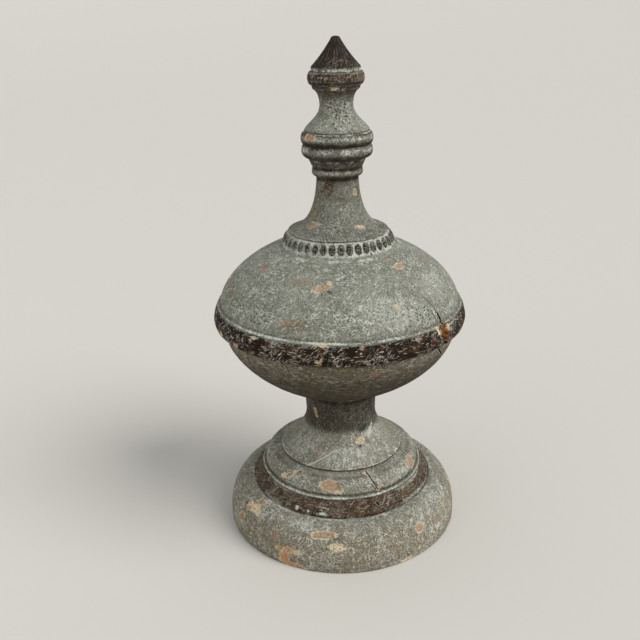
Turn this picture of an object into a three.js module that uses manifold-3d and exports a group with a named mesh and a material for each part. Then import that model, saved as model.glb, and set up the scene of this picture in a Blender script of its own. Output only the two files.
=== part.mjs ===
// Turned spire finial: domed foot, bell, round bulb with a banded rim, beaded collar and ringed spire
import * as THREE from "three";
import { mergeVertices } from "three/addons/utils/BufferGeometryUtils.js";
import Module from "manifold-3d";

// Foot skirt, in millimetres like every length here
const skirtRadius = 88.8;
const skirtEdgeRound = 0.8;
const skirtWallHeight = 7;
const skirtCrownHeight = 26;

// Sloping hollow band above the skirt, with a thin bead on its top edge
const bandLowRadius = 69.6;
const bandTopRadius = 61.2;
const bandHeight = 10.6;
const bandHollow = 0.6;
const edgeBeadRise = 0.8;
const edgeBeadHeight = 2.2;

// Rounded step under the bell
const stepInset = 1.6;
const stepTopRadius = 45.4;
const stepHeight = 12.4;

// Bell that draws in to the neck
const bellLipRadius = 46.8;
const bellLipHeight = 1.8;
const bellHeight = 28.8;
const neckRadius = 26.4;
const neckTopRadius = 27.3;
const neckHeight = 17.7;

// Bulb: a bowl on a low seat, a dome, and the rim band between them
const bowlSeatRadius = 29;
const bowlSeatHeight = 1.9;
const bowlHeight = 54.6;
const rimRadius = 92;
const rimUndercut = 7;
const rimEdgeInset = 0.9;
const rimEdgeHeight = 1.2;
const rimBellyHeight = 3.4;
const rimFaceHeight = 11.2;
const rimTopInset = 3.4;
const rimLedge = 1.8;
const rimLedgeHeight = 0.6;
const domeHeight = 41;

// Collar of carved beads where the spire stands on the dome
const collarMargin = 0.6;
const collarRadius = 40;
const collarWallHeight = 0.6;
const collarSlope = 4.6;
const collarHeight = 9;
const beadCount = 40;
const beadGap = 1.1;
const beadMargin = 2.6;
const beadRise = 1.4;
const beadTurn = 2.7;

// Foot of the spire and its stem
const spireFootRadius = 35.7;
const spireFootHeight = 1.2;
const spireFootOverhang = 0.5;
const spireFootInset = 0.9;
const stemRadius = 14.7;
const stemHeight = 37.8;

// Rings stacked on the stem
const lowRingRadius = 17.8;
const lowRingHeight = 5.4;
const ringSeatLowRadius = 17.1;
const ringSeatRadius = 20.2;
const ringSeatHeight = 7.2;
const middleRingRadius = 24.6;
const middleRingHeight = 9.1;
const ringGrooveRadius = 22.7;
const topRingRadius = 24.9;
const topRingHeight = 8.2;

// Vase above the rings
const vaseFootRadius = 22.6;
const vaseBellyHeight = 17.7;
const vaseNeckRadius = 11.4;
const vaseMouthHeight = 10.3;
const vaseMouthRadius = 16;

// Flat listel, torus and pointed cap
const listelRadius = 16.5;
const listelHeight = 2.4;
const torusRadius = 19.2;
const torusHeight = 9.2;
const capRadius = 16.6;
const capWallHeight = 2.6;
const capHeight = 17.3;
const capTipRadius = 3.2;
const capTipHeight = 1.6;

// Break in the rim band, turned from the front towards +X
const notchTurn = 51;
const notchMouth = 10.5;
const notchHeel = 5;
const notchDepth = 5;
const notchSkew = 1.3;

// Handles of the free curves, each a share of that curve's own run and climb
const bellCurve = [0.46, 0.2, 1, 0.55];
const bowlCurve = [0.554, 0.23, 1.036, 0.634];
const rimCurve = [0, 0.4, 0.55, 0.75];
const domeCurve = [0.018, 0.262, 0.306, 0.708];
const stemCurve = [0.63, 0.05, 0.98, 0.44];
const vaseCurve = [0, 0.26, 1, 0.51];
const mouthCurve = [0, 0.52, 0.35, 0.86];
const capCurve = [0.38, 0.283, 0.79, 0.717];

// Facets around each turned body, points along each curve, and the beads' own facets
const bodySides = 44;
const spireSides = 30;
const curveSteps = 6;
const shortCurveSteps = 3;
const beadSides = 8;
const beadRows = 4;

// Overlap that joins two solids, and how far a cutter runs past the wood
const seatDepth = 5;
const cutterMargin = 2;

// Walks up an outline from the axis and keeps its points
class Outline {
  constructor(startHeight) {
    this.points = [new THREE.Vector2(0, startHeight)];
  }

  get last() {
    return this.points[this.points.length - 1];
  }

  // Straight line to a radius, over the given climb
  line(radius, climb) {
    this.points.push(new THREE.Vector2(radius, this.last.y + climb));
  }

  // Bead that swells to its widest half way up
  ring(widest, endRadius, climb, steps) {
    const start = this.last;
    for (let step = 1; step <= 2 * steps; step += 1) {
      const angle = (Math.PI / 2) * (step / steps - 1);
      const rest = angle < 0 ? start.x : endRadius;
      const radius = rest + (widest - rest) * Math.cos(angle);
      const height = start.y + (climb / 2) * (1 + Math.sin(angle));
      this.points.push(new THREE.Vector2(radius, height));
    }
  }

  // Quarter ellipse that starts upright and ends level
  crown(endRadius, climb, steps) {
    const start = this.last;
    for (let step = 1; step <= steps; step += 1) {
      const angle = (Math.PI / 2) * (step / steps);
      const radius = endRadius + (start.x - endRadius) * Math.cos(angle);
      this.points.push(new THREE.Vector2(radius, start.y + climb * Math.sin(angle)));
    }
  }

  // Free curve with the two handles given as shares of its run and climb
  sweep(endRadius, climb, [firstRun, firstClimb, lastRun, lastClimb], steps) {
    const start = this.last;
    const run = endRadius - start.x;
    const first = new THREE.Vector2(start.x + run * firstRun, start.y + climb * firstClimb);
    const last = new THREE.Vector2(start.x + run * lastRun, start.y + climb * lastClimb);
    const end = new THREE.Vector2(endRadius, start.y + climb);
    const curve = new THREE.CubicBezierCurve(start, first, last, end);
    this.points.push(...curve.getPoints(steps).slice(1));
  }

  // Turned body about +Z, closed back to the axis
  turn(sides) {
    const closing = new THREE.Vector2(0, this.last.y);
    const body = new THREE.LatheGeometry([...this.points, closing], sides);
    return body.rotateX(Math.PI / 2);
  }
}

// Skirt, band, step, bell and neck, from the underside up
function drawFoot(outline) {
  outline.line(skirtRadius - skirtEdgeRound, 0);
  outline.line(skirtRadius, skirtEdgeRound);
  outline.line(skirtRadius, skirtWallHeight - skirtEdgeRound);
  outline.crown(bandLowRadius, skirtCrownHeight, curveSteps);
  outline.line((bandLowRadius + bandTopRadius) / 2 - bandHollow, bandHeight / 2);
  outline.line(bandTopRadius, bandHeight / 2);
  outline.ring(bandTopRadius + edgeBeadRise, bandTopRadius - stepInset, edgeBeadHeight, 1);
  outline.crown(stepTopRadius, stepHeight, shortCurveSteps + 1);
  outline.line(bellLipRadius, bellLipHeight / 2);
  outline.line(bellLipRadius, bellLipHeight / 2);
  outline.sweep(neckRadius, bellHeight, bellCurve, curveSteps);
  outline.line(neckTopRadius, neckHeight);
}

// Bowl of the bulb, from its seat on the neck to the rim's underside
function drawBowl(outline) {
  outline.line(bowlSeatRadius, 0);
  outline.line(bowlSeatRadius, bowlSeatHeight);
  outline.sweep(rimRadius - rimUndercut, bowlHeight, bowlCurve, curveSteps);
}

// Rim band and the dome over it
function drawDome(outline) {
  const rimTopRadius = rimRadius - rimTopInset;
  outline.line(rimRadius - rimEdgeInset, rimEdgeHeight);
  outline.line(rimRadius, rimBellyHeight);
  outline.sweep(rimTopRadius, rimFaceHeight, rimCurve, shortCurveSteps);
  outline.line(rimTopRadius - rimLedge, rimLedgeHeight);
  outline.sweep(collarRadius + collarMargin, domeHeight, domeCurve, curveSteps + 1);
}

// Collar, spire foot and stem
function drawStem(outline) {
  outline.line(collarRadius, 0);
  outline.line(collarRadius, seatDepth + collarWallHeight);
  outline.line(collarRadius - collarSlope, collarHeight);
  outline.line(spireFootRadius - spireFootOverhang, 0);
  outline.ring(spireFootRadius, spireFootRadius - spireFootInset, spireFootHeight, 1);
  outline.sweep(stemRadius, stemHeight, stemCurve, curveSteps);
}

// Rings and vase
function drawRings(outline) {
  outline.ring(lowRingRadius, ringSeatLowRadius, lowRingHeight, 2);
  outline.line(ringSeatRadius, ringSeatHeight);
  outline.ring(middleRingRadius, ringGrooveRadius, middleRingHeight, 2);
  outline.ring(topRingRadius, vaseFootRadius, topRingHeight, 2);
  outline.sweep(vaseNeckRadius, vaseBellyHeight, vaseCurve, curveSteps);
  outline.sweep(vaseMouthRadius, vaseMouthHeight, mouthCurve, shortCurveSteps);
}

// Listel, torus and cap
function drawCap(outline) {
  outline.line(listelRadius, listelHeight);
  outline.ring(torusRadius, capRadius, torusHeight, 2);
  outline.line(capRadius, capWallHeight);
  outline.sweep(capTipRadius, capHeight, capCurve, curveSteps);
}

// One oval bead lying on the collar's slope, turned from the front
function carveBead(turn, slopeFoot) {
  const pitch = (2 * Math.PI * (collarRadius - collarSlope / 2)) / beadCount;
  const length = Math.hypot(collarSlope, collarHeight) - beadMargin;
  const bead = new THREE.SphereGeometry(1, beadSides, beadRows);
  bead.scale((pitch - beadGap) / 2, beadRise, length / 2);
  bead.rotateX(-Math.atan2(collarSlope, collarHeight));
  bead.translate(0, -(collarRadius - collarSlope / 2), slopeFoot + collarHeight / 2);
  return bead.rotateZ(turn);
}

// Splinter-shaped cutter for the break in the rim band
function carveNotch(rimFoot) {
  const outer = -(rimRadius + cutterMargin);
  const heel = -(rimRadius - notchDepth);
  const plan = new THREE.Shape();
  plan.moveTo(-notchMouth / 2, outer);
  plan.lineTo(notchMouth / 2, outer);
  plan.lineTo(notchHeel / 2, heel);
  plan.lineTo(-notchHeel / 2, heel - notchSkew);
  plan.closePath();
  const rimHeight = rimEdgeHeight + rimBellyHeight + rimFaceHeight;
  const depth = rimHeight + 2 * cutterMargin;
  const cutter = new THREE.ExtrudeGeometry(plan, { depth, bevelEnabled: false });
  cutter.translate(0, 0, rimFoot - cutterMargin);
  return cutter.rotateZ(THREE.MathUtils.degToRad(notchTurn));
}

// Solid for joining and cutting, from a closed geometry
function solidOf(wasm, geometry) {
  const plain = geometry.clone();
  plain.deleteAttribute("normal");
  plain.deleteAttribute("uv");
  const merged = mergeVertices(plain, 1e-4);
  const vertProperties = Float32Array.from(merged.attributes.position.array);
  const triVerts = Uint32Array.from(merged.index.array);
  return new wasm.Manifold(new wasm.Mesh({ numProp: 3, vertProperties, triVerts }));
}

// Geometry of a joined and cut solid
function geometryOf(solid) {
  const { vertProperties, triVerts } = solid.getMesh();
  const geometry = new THREE.BufferGeometry();
  geometry.setAttribute("position", new THREE.BufferAttribute(vertProperties, 3));
  geometry.setIndex(new THREE.BufferAttribute(triVerts, 1));
  geometry.computeVertexNormals();
  return geometry;
}

// Whole finial: the turned bodies joined, the beads added and the break cut
function carveFinial(wasm) {
  const lower = new Outline(0);
  drawFoot(lower);
  drawBowl(lower);
  const rimFoot = lower.last.y;
  drawDome(lower);
  const domeTop = lower.last.y;

  const upper = new Outline(domeTop - seatDepth);
  drawStem(upper);
  drawRings(upper);
  drawCap(upper);
  upper.points.push(new THREE.Vector2(0, upper.last.y + capTipHeight));

  let finial = solidOf(wasm, lower.turn(bodySides)).add(solidOf(wasm, upper.turn(spireSides)));
  for (let index = 0; index < beadCount; index += 1) {
    const turn = THREE.MathUtils.degToRad(beadTurn) + (2 * Math.PI * index) / beadCount;
    finial = finial.add(solidOf(wasm, carveBead(turn, domeTop + collarWallHeight)));
  }
  return finial.subtract(solidOf(wasm, carveNotch(rimFoot)));
}

const wasm = await Module();
wasm.setup();

const wood = new THREE.MeshStandardMaterial({ color: 0x8c8b80, roughness: 0.85, metalness: 0 });
const finial = new THREE.Mesh(geometryOf(carveFinial(wasm)), wood);
finial.name = "finial";

const object = new THREE.Group();
object.add(finial);

export default object;
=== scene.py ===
"""Turned spire finial in worn, chalky grey paint: dense turned meshes with one procedural paint."""

import logging
import math
from dataclasses import dataclass
from enum import Enum
from typing import Optional, Sequence, Union

import bpy
import numpy as np
from mathutils import Matrix, Vector


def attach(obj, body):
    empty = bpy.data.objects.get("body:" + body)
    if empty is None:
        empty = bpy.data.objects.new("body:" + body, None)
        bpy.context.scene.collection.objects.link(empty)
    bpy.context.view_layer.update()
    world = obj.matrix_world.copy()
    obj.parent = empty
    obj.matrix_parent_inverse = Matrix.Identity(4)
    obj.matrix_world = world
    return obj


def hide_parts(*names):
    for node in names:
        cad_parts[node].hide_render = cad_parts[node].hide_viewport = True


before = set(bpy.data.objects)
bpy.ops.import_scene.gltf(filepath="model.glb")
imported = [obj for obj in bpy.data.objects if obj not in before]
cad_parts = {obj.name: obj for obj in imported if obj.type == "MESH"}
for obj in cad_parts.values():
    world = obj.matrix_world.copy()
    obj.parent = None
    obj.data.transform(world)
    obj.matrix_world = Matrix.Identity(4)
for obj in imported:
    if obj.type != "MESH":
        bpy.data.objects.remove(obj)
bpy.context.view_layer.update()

MM = 0.001
NODE = "finial"
BODY = "root"

# Millimetres between the points of an outline
OUTLINE_STEP = 0.1

# Sharpest bend that the rows of a mesh close up for, in radians per millimetre
SHARPEST_BEND = 1.2

# Depth inside a mark, in millimetres, on a piece that has none of its kind
UNMARKED = -30.0

# Degrees between the columns of a mesh at the back, at the front and beside the break in the rim
BACK_STEP = 1.4
FRONT_STEP = 0.75
BREAK_STEP = 0.22

# Lean of the brush strokes along each vector kept on a mesh, as the tangent of the angle
STROKE_LEANS = {"level": 0.0, "rising": 0.9, "falling": -0.8}

log = logging.getLogger("finial")

Colour = tuple[float, float, float, float]
Number = Union["Wire", float]
Triple = tuple[float, float, float]
Triples = tuple[Triple, ...]


def paint(red: int, green: int, blue: int) -> Colour:
    """Linear colour of a paint chip read in the usual 0 to 255 scale.

    Args:
        red: the chip's red.
        green: the chip's green.
        blue: the chip's blue.

    Returns:
        The colour for a shader socket.
    """
    def linear(level: int) -> float:
        """One channel, made linear."""
        share = level / 255
        return share / 12.92 if share <= 0.04045 else ((share + 0.055) / 1.055) ** 2.4

    return linear(red), linear(green), linear(blue), 1.0


class Wire:
    """One output of a node, with the arithmetic of a number."""

    def __init__(self, bench: "Bench", socket: bpy.types.NodeSocket) -> None:
        """Keep the socket and the bench that its node stands on."""
        self.bench = bench
        self.socket = socket

    def __add__(self, other: Number) -> "Wire":
        """Sum of two values."""
        return self.bench.maths("ADD", self, other)

    def __sub__(self, other: Number) -> "Wire":
        """This value less another."""
        return self.bench.maths("SUBTRACT", self, other)

    def __rsub__(self, other: Number) -> "Wire":
        """Another value less this one."""
        return self.bench.maths("SUBTRACT", other, self)

    def __mul__(self, other: Number) -> "Wire":
        """Product of two values."""
        return self.bench.maths("MULTIPLY", self, other)

    __radd__ = __add__

    def most(self, other: Number) -> "Wire":
        """Larger of two values."""
        return self.bench.maths("MAXIMUM", self, other)

    def step(self, low: float, high: float) -> "Wire":
        """Smooth step from 0 at low to 1 at high; low may be the larger of the two.

        Args:
            low: value that gives 0.
            high: value that gives 1.

        Returns:
            The stepped value.
        """
        settings = {"interpolation_type": "SMOOTHSTEP", "clamp": True}
        ends = (0.0, 1.0) if low < high else (1.0, 0.0)
        sockets = {
            "Value": self,
            "From Min": min(low, high),
            "From Max": max(low, high),
            "To Min": ends[0],
            "To Max": ends[1],
        }
        return self.bench.node("ShaderNodeMapRange", settings, sockets)


class Bench:
    """Node tree of one material, with short ways to lay nodes on it."""

    def __init__(self, name: str) -> None:
        """Start an empty material.

        Args:
            name: the material's name.
        """
        self.material = bpy.data.materials.new(name)
        self.material.use_nodes = True
        self.tree = self.material.node_tree
        self.tree.nodes.clear()

    def node(
        self,
        kind: str,
        settings: dict[str, object],
        sockets: dict[Union[str, int], object],
        output: Union[str, int] = 0,
    ) -> Wire:
        """Add a node, set it up, then fill its sockets.

        Args:
            kind: the node's type.
            settings: properties set first, such as an operation.
            sockets: a value or a wire for each input, by name or place.
            output: the output that the wire leaves from, by name or place.

        Returns:
            The wire from that output.
        """
        made = self.tree.nodes.new(kind)
        for key, value in settings.items():
            setattr(made, key, value)
        for key, value in sockets.items():
            if isinstance(value, Wire):
                self.tree.links.new(value.socket, made.inputs[key])
            else:
                made.inputs[key].default_value = value
        return Wire(self, made.outputs[output])

    def finish(self, shader: Wire) -> bpy.types.Material:
        """Lead the shader to the material's surface.

        Args:
            shader: the wire from the shader.

        Returns:
            The material.
        """
        end = self.tree.nodes.new("ShaderNodeOutputMaterial")
        self.tree.links.new(shader.socket, end.inputs["Surface"])
        return self.material

    def maths(self, operation: str, *values: Number) -> Wire:
        """Math node on one or two values."""
        return self.node("ShaderNodeMath", {"operation": operation}, dict(enumerate(values)))

    def vector(self, operation: str, *values: object) -> Wire:
        """Vector Math node on vectors."""
        return self.node("ShaderNodeVectorMath", {"operation": operation}, dict(enumerate(values)))

    def measure(self, name: str) -> Wire:
        """Number that the mesh holds under this name."""
        return self.node("ShaderNodeAttribute", {"attribute_name": name}, {}, "Fac")

    def place(self, name: str) -> Wire:
        """Vector that the mesh holds under this name."""
        return self.node("ShaderNodeAttribute", {"attribute_name": name}, {}, "Vector")

    def blend(self, share: Number, first: object, second: object) -> Wire:
        """Mix two colours.

        Args:
            share: how much of the second colour.
            first: colour or wire underneath.
            second: colour or wire on top.

        Returns:
            The mixed colour.
        """
        settings = {"data_type": "RGBA", "blend_type": "MIX", "clamp_factor": True}
        return self.node("ShaderNodeMix", settings, {0: share, 6: first, 7: second}, 2)

    def noise(
        self,
        place: Wire,
        cell: Sequence[float],
        layers: float,
        rough: float,
        seed: float,
        output: int = 0,
    ) -> Wire:
        """Noise between 0 and 1 whose spots have the given size on each axis.

        Args:
            place: where on the surface, in millimetres.
            cell: rough size of a spot along each axis, in millimetres.
            layers: number of finer layers.
            rough: strength of the finer layers.
            seed: picks another pattern.
            output: 0 for the number and 1 for three at once.

        Returns:
            The noise.
        """
        rates = tuple(1 / side for side in cell)
        offset = (seed * 37.1, seed * 11.7, seed * 23.9)
        scaled = self.vector("MULTIPLY_ADD", place, rates, offset)
        sockets = {"Vector": scaled, "Scale": 1.0, "Detail": layers, "Roughness": rough}
        return self.node("ShaderNodeTexNoise", {"noise_dimensions": "3D"}, sockets, output)

    def grain(self, place: Wire, size: float, layers: float, rough: float, seed: float) -> Wire:
        """Even noise with round spots of one size."""
        return self.noise(place, (size, size, size), layers, rough, seed)

    def curls(self, place: Wire, size: float, breadth: float, seed: float) -> Wire:
        """Thin curling lines, as left by a nearly dry brush.

        Args:
            place: where on the surface, in millimetres.
            size: rough size of a curl, in millimetres.
            breadth: how broad the lines are, as a share of the noise.
            seed: picks another pattern.

        Returns:
            1 on a line and 0 off it.
        """
        level = self.grain(place, size, 2.0, 0.5, seed)
        return self.maths("ABSOLUTE", level - 0.5).step(breadth, breadth * 0.2)


class MarkKind(Enum):
    """Ways in which the paint is marked."""

    BRICK = "brick"
    TAN = "tan"
    CREAM = "cream"
    RUBBED = "rubbed"
    PALE = "pale"
    # Pale patches of painted light
    LIT = "washed"
    SPECKLED = "speckled"
    STAIN = "stain"
    BROWN = "brown"
    TEA = "tea"


class LineKind(Enum):
    """Kinds of drawn line."""

    CRACK = "crack"
    SCRATCH = "scratch"


@dataclass(frozen=True)
class Mark:
    """Oval mark on the paint, turned from the front towards +X; degrees and millimetres."""

    kind: MarkKind
    turn: float
    height: float
    length: float
    width: float
    tilt: float = 0.0


@dataclass(frozen=True)
class Line:
    """Crack or scratch through points of turn and height; degrees and millimetres."""

    kind: LineKind
    points: tuple[tuple[float, float], ...]
    width: float
    depth: float = 0.0


def marks(ovals: dict[MarkKind, Sequence[Sequence[float]]]) -> tuple[Mark, ...]:
    """Marks by kind, each from its turn, height, length, width and, where it leans, tilt."""
    return tuple(Mark(kind, *oval) for kind, group in ovals.items() for oval in group)


FOOT_MARKS = marks(
    {
        MarkKind.BRICK: (
            (-45, 92.7, 3, 7, 5),
            (-8.5, 52.7, 15, 8, -8),
            (67.5, 52.1, 10, 8, 75),
            (-42.5, 53.5, 7, 2.4, 30),
            (-61.5, 16.9, 8, 6, 50),
            (-9.5, 27.3, 17, 5, 5),
            (41.5, 21.2, 8, 6.5),
            (-53, 31.7, 8, 4, 15),
            (176, 24, 15, 7, 10),
            (-124, 50, 11, 6),
        ),
        MarkKind.CREAM: (
            (27, 73.6, 9, 4.5, 12),
            (-2, 49.4, 5, 3),
            (-47.5, 51, 6, 3.6, 20),
            (-55.5, 27.8, 14, 8, 15),
            (-50.5, 27.4, 5, 7, 20),
            (-21.5, 13.3, 6, 3),
            (-2, 20.4, 12.5, 5, -5),
            (21.0, 57.2, 4, 2.6, -30),
            (-39.5, 55.8, 3.6, 1.6, 40),
            (66.5, 59.8, 4, 3, 60),
            (31.5, 2.3, 9, 1.6),
            (40, 6.9, 2.4, 2),
            (121, 18, 12, 6, -10),
            (-156, 14, 10, 5, 15),
            (158, 74, 8, 5, -20),
        ),
        MarkKind.PALE: (
            (48, 77.5, 13, 3, 40),
            (-29.5, 35.6, 3.5, 2.6),
            (-21.5, 35.5, 2.6, 2),
            (-12, 35.2, 7, 2.4, 5),
        ),
        MarkKind.STAIN: (
            (36, 81, 9, 5, 20),
            (-3, 25.7, 4, 2.5),
            (24.5, 70.7, 4, 3),
            (-62, 26.9, 3.5, 3),
            (-7, 19.5, 4, 3),
        ),
        MarkKind.TAN: (
            (-58.5, 25.5, 6, 3.5, 40),
            (-31.5, 12.8, 5.5, 4.6, -15),
            (-26.5, 13.4, 8.5, 4.2, -8),
            (-28.4, 7.2, 8.5, 7.5, 60),
            (-24.5, 2.2, 19, 4, -4),
            (27.2, 48.0, 4.6, 2.8, -60),
            (-43.5, 52.4, 5, 2.6, 40),
            (22, 57.3, 4.5, 2, -20),
        ),
        MarkKind.RUBBED: (
            (-34, 20.1, 10, 8, 60),
            (25, 14.3, 7, 5),
            (-26, 68.4, 9, 6, 10),
            (24.5, 15.3, 8, 5),
            (55, 19, 9, 6),
        ),
        MarkKind.TEA: (
            (-34, 14, 40, 18),
            (-62, 20, 28, 14),
            (20, 10, 60, 12),
            (-22, 59, 14, 3),
            (-8, 58.8, 10, 3),
            (32, 57, 12, 4),
            (-55, 52, 14, 8),
            (52, 41, 22, 5),
            (180, 20, 60, 20),
        ),
        MarkKind.BROWN: (
            (25.6, 49.6, 9, 4, -60),
        ),
        # Painted light: pale patches on the bell and the skirt, with a painted sheen on the skirt
        MarkKind.LIT: (
            (-22, 30.5, 38, 9),
            (55, 27, 56, 22),
            (10, 66, 60, 16),
            (62, 70, 34, 20),
            (-60, 64, 30, 14),
            (-42, 72, 22, 14),
            (62, 16, 40, 18),
            (50, 52, 40, 10),
        ),
    }
)

BULB_MARKS = marks(
    {
        MarkKind.BRICK: (
            (-9.5, 208.3, 11, 5.0, 24),
            (48, 214, 8.5, 4.8),
            (148, 206, 14, 7, 20),
            (-160, 148, 10, 5, 10),
        ),
        MarkKind.CREAM: (
            (-5.8, 210.6, 3.4, 3.0, 60),
            (49.5, 213.2, 4, 2.0, 10),
            (28.5, 197.2, 3.4, 2.4, 20),
            (-63.5, 167.2, 4.5, 2.4),
            (-39, 176.5, 3, 1.3),
            (47.2, 175.6, 3.2, 5.5, 10),
            (54.5, 175.2, 2.6, 4.4),
            (-7, 178.2, 5, 1.1),
            (-132, 198, 9, 5, -15),
            (160, 170, 9, 4),
        ),
        # Painted light on the dome's right
        MarkKind.LIT: (
            (22, 194, 44, 26, -10),
            (60, 200, 30, 20),
        ),
        MarkKind.SPECKLED: (
            (40, 189, 30, 16, -20),
            (-38, 188, 26, 12, 10),
        ),
        MarkKind.RUBBED: (
            (-23.5, 210.7, 17, 3.5, 8),
            (-61, 211.3, 12, 7, 10),
            (43, 218.2, 11, 4, -5),
            (80, 210.9, 12, 4),
            (-24, 189.5, 10, 6, 10),
            (15.5, 154.8, 11, 4.5),
            (-51, 164.7, 8, 5),
            (118, 190, 15, 6, 5),
        ),
        MarkKind.TAN: (
            (-8, 168.3, 4.6, 2.4, 10),
            (-50, 166.8, 3, 2),
        ),
        MarkKind.BROWN: (
            (25.5, 168.8, 12, 5),
            (-14, 170, 16, 5),
        ),
        # Brown tint; the marks on the dome's left are partly painted shade on the side away from the
        # light
        MarkKind.TEA: (
            (-70, 194, 22, 12),
            (-25, 209, 24, 7),
            (-20, 188, 26, 9, 8),
            (-25, 152, 70, 12),
            (140, 190, 60, 18),
        ),
        MarkKind.STAIN: (
            (-5, 206.5, 5, 2.4, -40),
        ),
    }
)

SPIRE_MARKS = marks(
    {
        MarkKind.BRICK: (
            (-48, 237.2, 8, 4.5, 10),
            (50, 258.8, 3.6, 3.2, 70),
            (165, 296, 8, 4),
        ),
        MarkKind.RUBBED: (
            (40, 237.2, 9, 5, -10),
            (61.5, 296.7, 9, 3.5),
            (-0.5, 272.4, 5, 2),
            (16, 345.5, 2.2, 3, 80),
            (38.5, 344.7, 2.6, 2.2),
        ),
        MarkKind.CREAM: (
            (38.5, 236.4, 5, 2.0, -20),
            (-7, 328.2, 4.4, 1.6),
            (-150, 238, 8, 5, 10),
        ),
        MarkKind.BROWN: (
            (-24, 264, 8, 6, 20),
            (150, 262, 9, 6, -15),
        ),
        # Painted light on the stem's right
        MarkKind.LIT: (
            (40, 262, 10, 16),
        ),
        MarkKind.SPECKLED: (
            (10, 312, 16, 22),
        ),
        MarkKind.TAN: (
            (-48, 297.2, 9, 4.5),
        ),
        MarkKind.TEA: (
            (-24, 262, 12, 14),
            (-66, 250, 12, 24),
            (-25, 334, 18, 6),
            (20, 272, 14, 4),
            (-40, 318, 10, 10),
        ),
    }
)

FOOT_LINES = (
    Line(
        LineKind.CRACK,
        ((21.4, 58), (22.6, 56), (23.2, 54.4), (24.9, 51.6), (25.3, 49.8), (26.6, 47)),
        0.5,
        0.45,
    ),
    Line(LineKind.SCRATCH, ((20.2, 57.4), (22, 54), (24.2, 49.6)), 0.45),
    Line(LineKind.SCRATCH, ((-6.5, 69.7), (-14, 67.2), (-26, 62.4), (-35.5, 58.4)), 0.8, -0.4),
    Line(LineKind.SCRATCH, ((-36, 57.6), (-39.5, 54.5), (-43, 50.8)), 0.8, -0.2),
    Line(LineKind.SCRATCH, ((27, 75), (38, 76.2), (50, 78.2), (58, 81.5)), 0.8, 0.2),
    Line(LineKind.SCRATCH, ((-55, 33.8), (-50, 41.4)), 0.5),
    Line(LineKind.CRACK, ((-57, 34), (-52, 41.6)), 0.4, 0.4),
    Line(LineKind.CRACK, ((23.6, 39.6), (24.4, 38.2)), 0.9, 0.6),
    Line(LineKind.SCRATCH, ((-15, 38.9), (-8.5, 38)), 0.5),
    Line(LineKind.SCRATCH, ((30, 41), (27, 37.6)), 0.4),
    Line(LineKind.SCRATCH, ((34, 41.4), (30.5, 36.4)), 0.4),
)

BULB_LINES = (
    Line(LineKind.CRACK, ((45.8, 198), (48.5, 193), (50.2, 186)), 0.35, 0.8),
    Line(LineKind.CRACK, ((50.2, 186), (51.3, 182), (51.5, 177)), 0.8, 1.6),
    Line(LineKind.CRACK, ((47, 187.6), (48, 183), (49, 179.4)), 0.3, 0.5),
    Line(LineKind.CRACK, ((51, 166), (53, 158), (57.5, 152)), 0.7, 0.8),
    Line(LineKind.CRACK, ((50.6, 168), (52.2, 164.6)), 1.8, 0.8),
    Line(LineKind.SCRATCH, ((-42, 206.8), (-39.5, 197.2), (-39, 184.3)), 0.35),
    Line(LineKind.SCRATCH, ((-57, 199), (-45, 190), (-41, 182)), 0.3),
    Line(LineKind.SCRATCH, ((-61, 209.2), (-63.5, 214.2), (-66, 219.1)), 0.3),
    Line(LineKind.SCRATCH, ((57, 175.9), (61, 177), (65, 175.2)), 0.5),
    Line(LineKind.SCRATCH, ((-46, 176), (-44.5, 170), (-43.5, 166)), 0.35),
)


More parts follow.
